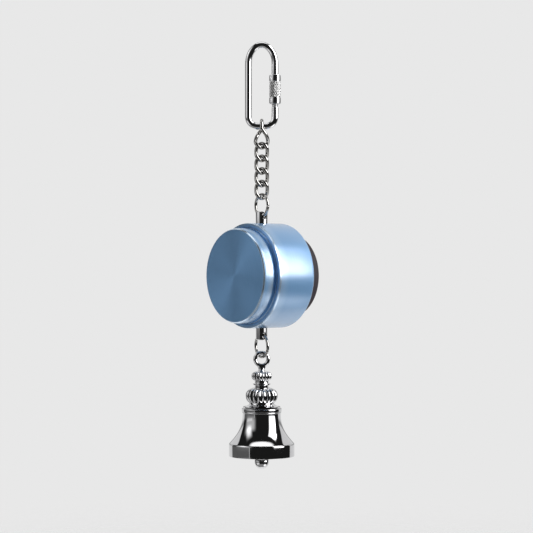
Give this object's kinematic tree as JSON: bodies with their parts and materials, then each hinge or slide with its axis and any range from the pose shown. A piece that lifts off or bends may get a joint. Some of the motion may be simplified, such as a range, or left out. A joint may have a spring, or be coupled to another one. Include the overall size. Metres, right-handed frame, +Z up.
{
  "type": "hanging bell bird toy",
  "caption": "Hanging bird toy: a screw-sleeve quick link, a short curb chain, a level anodised drum between cross-drilled posts, and a flared bell with a clapper.",
  "frame": {"origin": "hang point, at the inside top of the quick link's arch", "axes": "+Z up along the hanging line; +X across the quick link, towards its sleeve; +Y away from the drum's front side"},
  "size_m": [0.0563, 0.0572, 0.2136],
  "materials": {
    "chrome": "polished",
    "nickel": "polished",
    "blue_aluminium": "satin",
    "charcoal_rubber": "satin",
    "bell_plating": "polished",
    "zinc_steel": "satin"
  },
  "bodies": {
    "quick_link": {"quick_link_rod": "chrome"},
    "sleeve": {"quick_link_sleeve": "chrome"},
    "link_1": {"chain_link_1": "nickel"},
    "link_2": {"chain_link_2": "nickel"},
    "link_3": {"chain_link_3": "nickel"},
    "link_4": {"chain_link_4": "nickel"},
    "link_5": {"chain_link_5": "nickel"},
    "upper_jump_ring": {"upper_ring": "nickel"},
    "drum": {"drum_body": "blue_aluminium", "front_cap": "blue_aluminium", "rear_plug": "charcoal_rubber", "upper_post": "chrome", "upper_post_washer": "zinc_steel", "upper_post_nut": "zinc_steel", "lower_post": "chrome", "lower_post_washer": "zinc_steel", "lower_post_nut": "zinc_steel"},
    "lower_jump_ring": {"lower_ring": "nickel"},
    "bell": {"bell_crown": "bell_plating", "bell_shell": "bell_plating", "clapper_eye_bolt": "zinc_steel"},
    "clapper": {"clapper_rod": "zinc_steel", "clapper_ball": "bell_plating"}
  },
  "joints": [
    {"name": "sleeve_travel", "type": "slide", "parent": "quick_link", "child": "sleeve", "axis": [0, 0, 1], "range_m": [0, 0.0053]},
    {"name": "link_1_swing", "type": "hinge", "parent": "quick_link", "child": "link_1", "pos_m": [0, 0, -0.0389], "axis": [1, 0, 0], "range_deg": [-85, 85]},
    {"name": "link_2_swing", "type": "hinge", "parent": "link_1", "child": "link_2", "pos_m": [0, 0, -0.04975], "axis": [0.7071, 0.7071, 0], "range_deg": [-25, 25]},
    {"name": "link_3_swing", "type": "hinge", "parent": "link_2", "child": "link_3", "pos_m": [0, 0, -0.05385], "axis": [0.7071, -0.7071, 0], "range_deg": [-34, 34]},
    {"name": "link_4_swing", "type": "hinge", "parent": "link_3", "child": "link_4", "pos_m": [0, 0, -0.06235], "axis": [-0.7071, -0.7071, 0], "range_deg": [-34, 34]},
    {"name": "link_5_swing", "type": "hinge", "parent": "link_4", "child": "link_5", "pos_m": [0, 0, -0.06645], "axis": [-0.7071, 0.7071, 0], "range_deg": [-34, 34]},
    {"name": "upper_ring_swing", "type": "hinge", "parent": "link_5", "child": "upper_jump_ring", "pos_m": [0, 0, -0.07495], "axis": [0.7071, 0.7071, 0], "range_deg": [-60, 60]},
    {"name": "drum_swing", "type": "hinge", "parent": "upper_jump_ring", "child": "drum", "pos_m": [0, 0, -0.08375], "axis": [0.5299, -0.848, 0], "range_deg": [-75, 75]},
    {"name": "lower_ring_swing", "type": "hinge", "parent": "drum", "child": "lower_jump_ring", "pos_m": [0, 0, -0.14345], "axis": [-0.5299, 0.848, 0], "range_deg": [-75, 75]},
    {"name": "bell_swing", "type": "hinge", "parent": "lower_jump_ring", "child": "bell", "pos_m": [0, 0, -0.15215], "axis": [1, 0, 0], "range_deg": [-44, 44]},
    {"name": "clapper_swing", "type": "hinge", "parent": "bell", "child": "clapper", "pos_m": [0, 0, -0.1881], "axis": [0, 1, 0], "range_deg": [-35, 35]}
  ]
}
